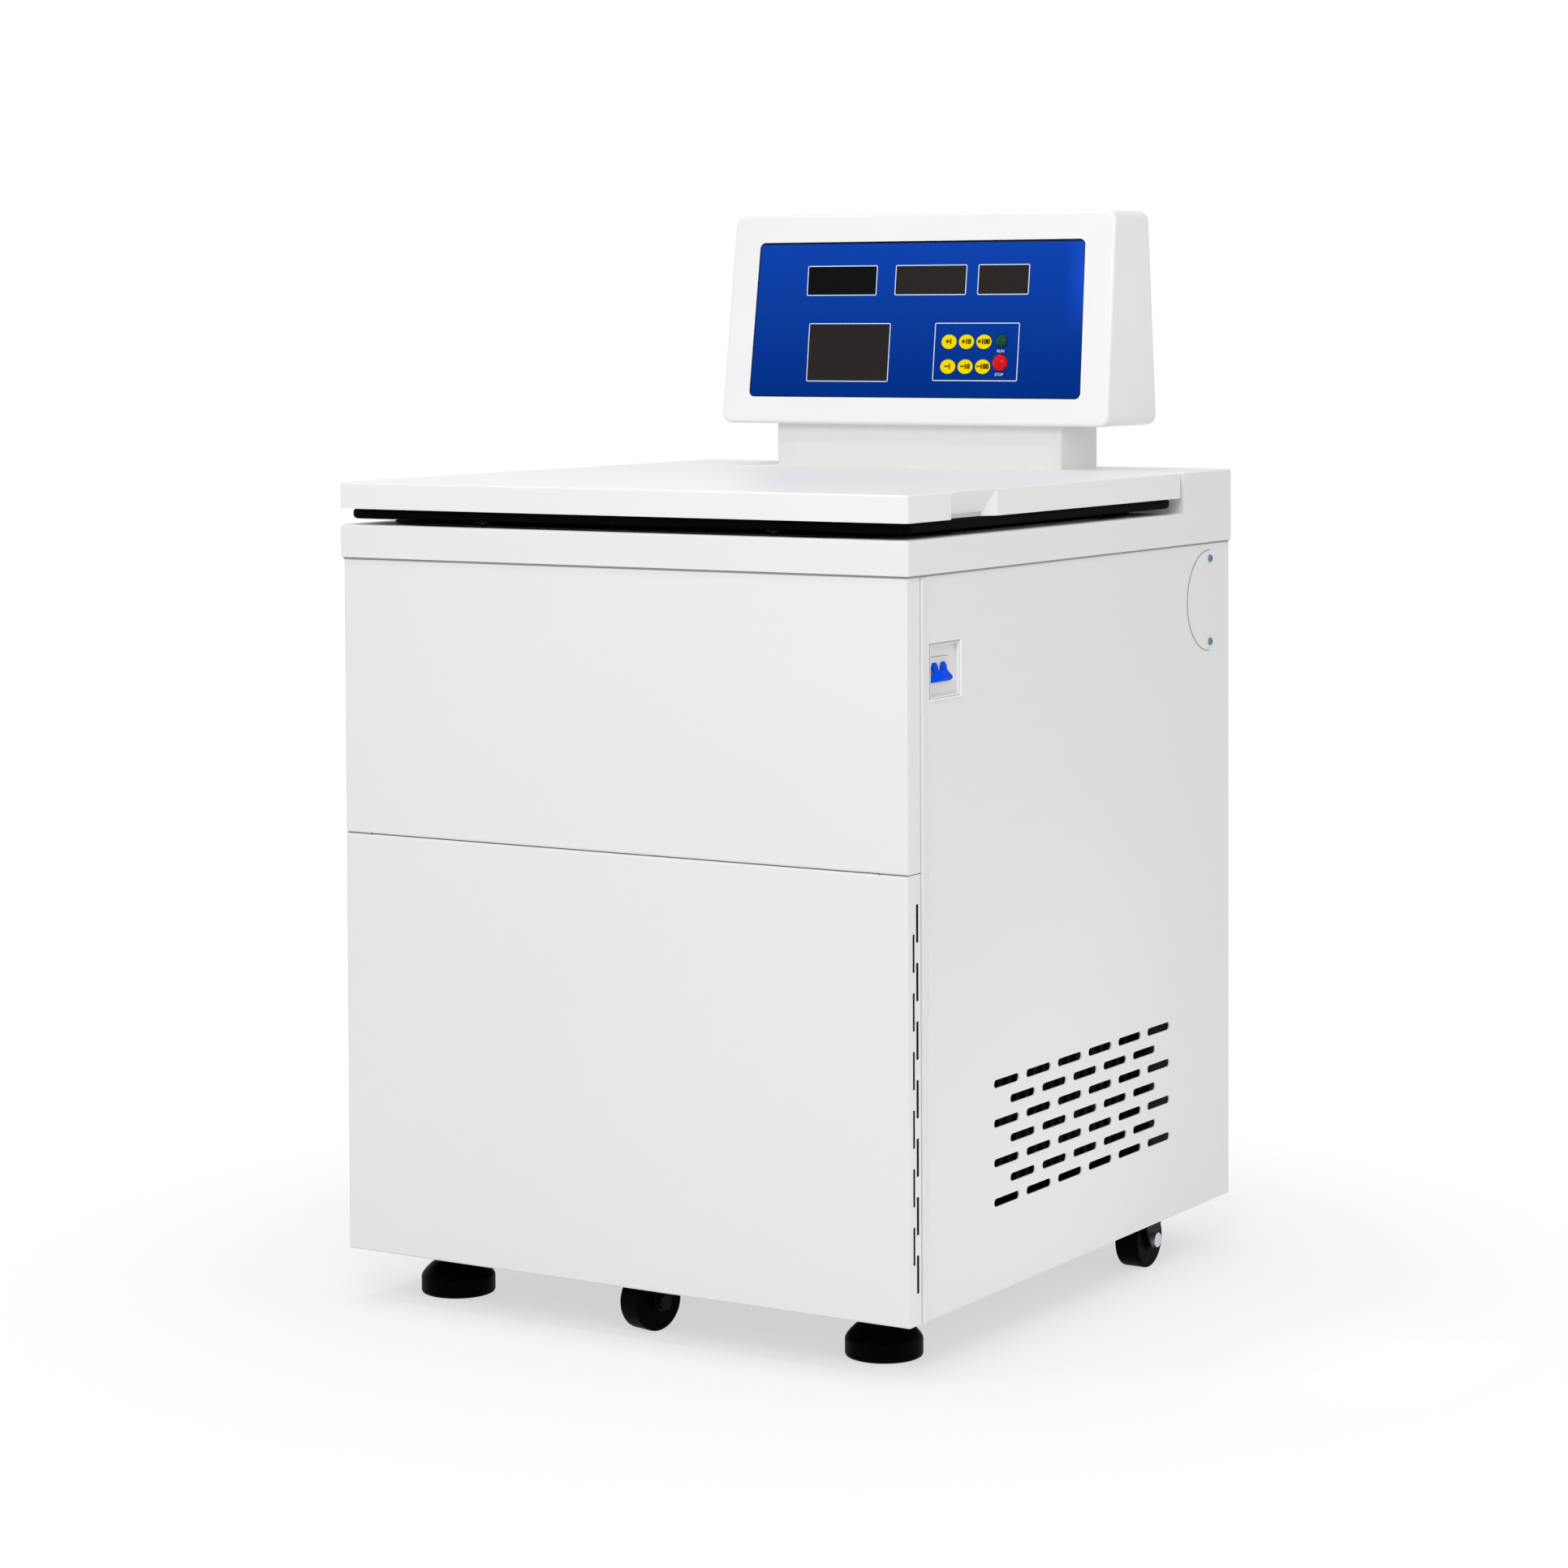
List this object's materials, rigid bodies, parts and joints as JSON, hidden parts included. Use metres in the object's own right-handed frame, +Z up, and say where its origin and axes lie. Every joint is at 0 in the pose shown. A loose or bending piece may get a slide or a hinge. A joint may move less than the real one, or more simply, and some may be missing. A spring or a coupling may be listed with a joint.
{
  "type": "floor centrifuge",
  "caption": "Floor-standing refrigerated centrifuge: square cabinet with a hinged lid over a swing-out rotor, a tilted display head on a neck, vents, levelling feet and casters.",
  "frame": {"origin": "on the floor, below the middle of the top frame's outline", "axes": "+Z up, front panels face -Y, the mains breaker is on the +X side"},
  "size_m": [0.7, 0.738, 1.173],
  "materials": {
    "cabinet_white": "fine-textured powder coat",
    "chassis_paint": "satin",
    "head_white": "satin",
    "panel_blue": "satin printed film",
    "smoked_lens": "smoked",
    "circuit_green": "satin",
    "key_yellow": "gloss",
    "run_green": "gloss",
    "stop_red": "gloss",
    "breaker_grey": "satin",
    "lever_blue": "gloss",
    "bright_steel": "zinc plated",
    "lock_steel": "satin",
    "liner_black": "matt",
    "seal_rubber": "matt",
    "bowl_steel": "brushed",
    "foam": "closed-cell foam",
    "motor_iron": "painted",
    "yoke_steel": "machined",
    "bucket_steel": "polished",
    "nut_aluminium": "anodised",
    "compressor_black": "gloss",
    "coil_aluminium": "black coated",
    "fan_plastic": "satin",
    "inverter_paint": "satin",
    "gland_plastic": "satin",
    "foot_black": "satin",
    "bracket_black": "satin",
    "wheel_black": "satin"
  },
  "bodies": {
    "cabinet": {"chassis_frame": "chassis_paint", "side_panel_left": "cabinet_white", "side_panel_right": "cabinet_white", "rear_panel": "cabinet_white", "front_panel_upper": "cabinet_white", "front_panel_lower": "cabinet_white", "top_frame": "cabinet_white", "hinge_covers": "cabinet_white", "cover_screws": "bright_steel", "breaker_recess": "breaker_grey", "breaker_body": "breaker_grey", "neck_column": "cabinet_white", "head_housing": "head_white", "head_rear_cover": "head_white", "display_panel": "panel_blue", "display_lenses": "smoked_lens", "control_board": "circuit_green", "hinge_brackets": "bright_steel", "lid_locks": "lock_steel", "chamber_bowl": "bowl_steel", "foam_insulation": "foam", "armour_ring": "chassis_paint", "drive_motor": "motor_iron", "motor_mounts": "seal_rubber", "compressor": "compressor_black", "condenser": "coil_aluminium", "inverter_box": "inverter_paint", "cable_gland": "gland_plastic", "foot_nuts": "bright_steel", "front_caster_plate": "bracket_black", "rear_caster_brackets": "bracket_black", "rear_caster_axles": "bright_steel"},
    "lid": {"lid_shell": "cabinet_white", "lid_liner": "liner_black", "lid_seal": "seal_rubber", "lid_hinge_leaves": "bright_steel", "lid_strikers": "lock_steel"},
    "rotor": {"rotor_spindle": "bright_steel", "rotor_yoke": "yoke_steel", "rotor_nut": "nut_aluminium"},
    "bucket_1": {"bucket_1": "bucket_steel"},
    "bucket_2": {"bucket_2": "bucket_steel"},
    "bucket_3": {"bucket_3": "bucket_steel"},
    "bucket_4": {"bucket_4": "bucket_steel"},
    "condenser_fan": {"condenser_fan": "fan_plastic"},
    "foot_left": {"foot_left": "foot_black"},
    "foot_right": {"foot_right": "foot_black"},
    "front_caster_fork": {"front_caster_fork": "bracket_black"},
    "front_wheel": {"front_wheel": "wheel_black"},
    "rear_wheel_left": {"rear_wheel_left": "wheel_black"},
    "rear_wheel_right": {"rear_wheel_right": "wheel_black"},
    "breaker_lever": {"breaker_lever": "lever_blue"},
    "key_plus_1": {"key_plus_1": "key_yellow"},
    "key_plus_10": {"key_plus_10": "key_yellow"},
    "key_plus_100": {"key_plus_100": "key_yellow"},
    "key_minus_1": {"key_minus_1": "key_yellow"},
    "key_minus_10": {"key_minus_10": "key_yellow"},
    "key_minus_100": {"key_minus_100": "key_yellow"},
    "run_button": {"run_button": "run_green"},
    "stop_button": {"stop_button": "stop_red"}
  },
  "joints": [
    {"name": "lid_hinge", "type": "hinge", "parent": "cabinet", "child": "lid", "pos_m": [0, 0.231, 0.87], "axis": [-1, 0, 0], "range_deg": [0, 80]},
    {"name": "breaker_lever_tilt", "type": "hinge", "parent": "cabinet", "child": "breaker_lever", "pos_m": [0.3344, -0.2955, 0.7026], "axis": [0, -1, 0], "range_deg": [0, 40]},
    {"name": "rotor_spin", "type": "hinge", "parent": "cabinet", "child": "rotor", "pos_m": [0, -0.065, 0.716], "axis": [0, 0, 1], "continuous": true},
    {"name": "condenser_fan_spin", "type": "hinge", "parent": "cabinet", "child": "condenser_fan", "pos_m": [0.2655, 0.0125, 0.206], "axis": [1, 0, 0], "continuous": true},
    {"name": "foot_left_screw", "type": "slide", "parent": "cabinet", "child": "foot_left", "axis": [0, 0, 1], "range_m": [-0.012, 0]},
    {"name": "foot_right_screw", "type": "slide", "parent": "cabinet", "child": "foot_right", "axis": [0, 0, 1], "range_m": [-0.012, 0]},
    {"name": "bucket_1_swing", "type": "hinge", "parent": "rotor", "child": "bucket_1", "pos_m": [0.13, -0.065, 0.716], "axis": [0, -1, 0], "range_deg": [0, 90]},
    {"name": "bucket_2_swing", "type": "hinge", "parent": "rotor", "child": "bucket_2", "pos_m": [0, 0.065, 0.716], "axis": [1, 0, 0], "range_deg": [0, 90]},
    {"name": "bucket_3_swing", "type": "hinge", "parent": "rotor", "child": "bucket_3", "pos_m": [-0.13, -0.065, 0.716], "axis": [0, 1, 0], "range_deg": [0, 90]},
    {"name": "bucket_4_swing", "type": "hinge", "parent": "rotor", "child": "bucket_4", "pos_m": [0, -0.195, 0.716], "axis": [-1, 0, 0], "range_deg": [0, 90]},
    {"name": "front_caster_swivel", "type": "hinge", "parent": "cabinet", "child": "front_caster_fork", "pos_m": [0.012, -0.29, 0.078], "axis": [0, 0, 1], "continuous": true},
    {"name": "front_wheel_spin", "type": "hinge", "parent": "front_caster_fork", "child": "front_wheel", "pos_m": [0.0066, -0.31339, 0.0325], "axis": [0.9744, -0.225, 0], "continuous": true},
    {"name": "rear_wheel_left_spin", "type": "hinge", "parent": "cabinet", "child": "rear_wheel_left", "pos_m": [-0.315, 0.202, 0.0315], "axis": [1, 0, 0], "continuous": true},
    {"name": "rear_wheel_right_spin", "type": "hinge", "parent": "cabinet", "child": "rear_wheel_right", "pos_m": [0.315, 0.202, 0.0315], "axis": [1, 0, 0], "continuous": true},
    {"name": "key_plus_1_press", "type": "slide", "parent": "cabinet", "child": "key_plus_1", "axis": [0, 0.9928, -0.1196], "range_m": [0, 0.0012], "stiffness_N_per_m": 800, "springref_m": -0.0005},
    {"name": "key_plus_10_press", "type": "slide", "parent": "cabinet", "child": "key_plus_10", "axis": [0, 0.9928, -0.1196], "range_m": [0, 0.0012], "stiffness_N_per_m": 800, "springref_m": -0.0005},
    {"name": "key_plus_100_press", "type": "slide", "parent": "cabinet", "child": "key_plus_100", "axis": [0, 0.9928, -0.1196], "range_m": [0, 0.0012], "stiffness_N_per_m": 800, "springref_m": -0.0005},
    {"name": "key_minus_1_press", "type": "slide", "parent": "cabinet", "child": "key_minus_1", "axis": [0, 0.9928, -0.1196], "range_m": [0, 0.0012], "stiffness_N_per_m": 800, "springref_m": -0.0005},
    {"name": "key_minus_10_press", "type": "slide", "parent": "cabinet", "child": "key_minus_10", "axis": [0, 0.9928, -0.1196], "range_m": [0, 0.0012], "stiffness_N_per_m": 800, "springref_m": -0.0005},
    {"name": "key_minus_100_press", "type": "slide", "parent": "cabinet", "child": "key_minus_100", "axis": [0, 0.9928, -0.1196], "range_m": [0, 0.0012], "stiffness_N_per_m": 800, "springref_m": -0.0005},
    {"name": "run_button_press", "type": "slide", "parent": "cabinet", "child": "run_button", "axis": [0, 0.9928, -0.1196], "range_m": [0, 0.0012], "stiffness_N_per_m": 800, "springref_m": -0.0005},
    {"name": "stop_button_press", "type": "slide", "parent": "cabinet", "child": "stop_button", "axis": [0, 0.9928, -0.1196], "range_m": [0, 0.0012], "stiffness_N_per_m": 800, "springref_m": -0.0005}
  ]
}
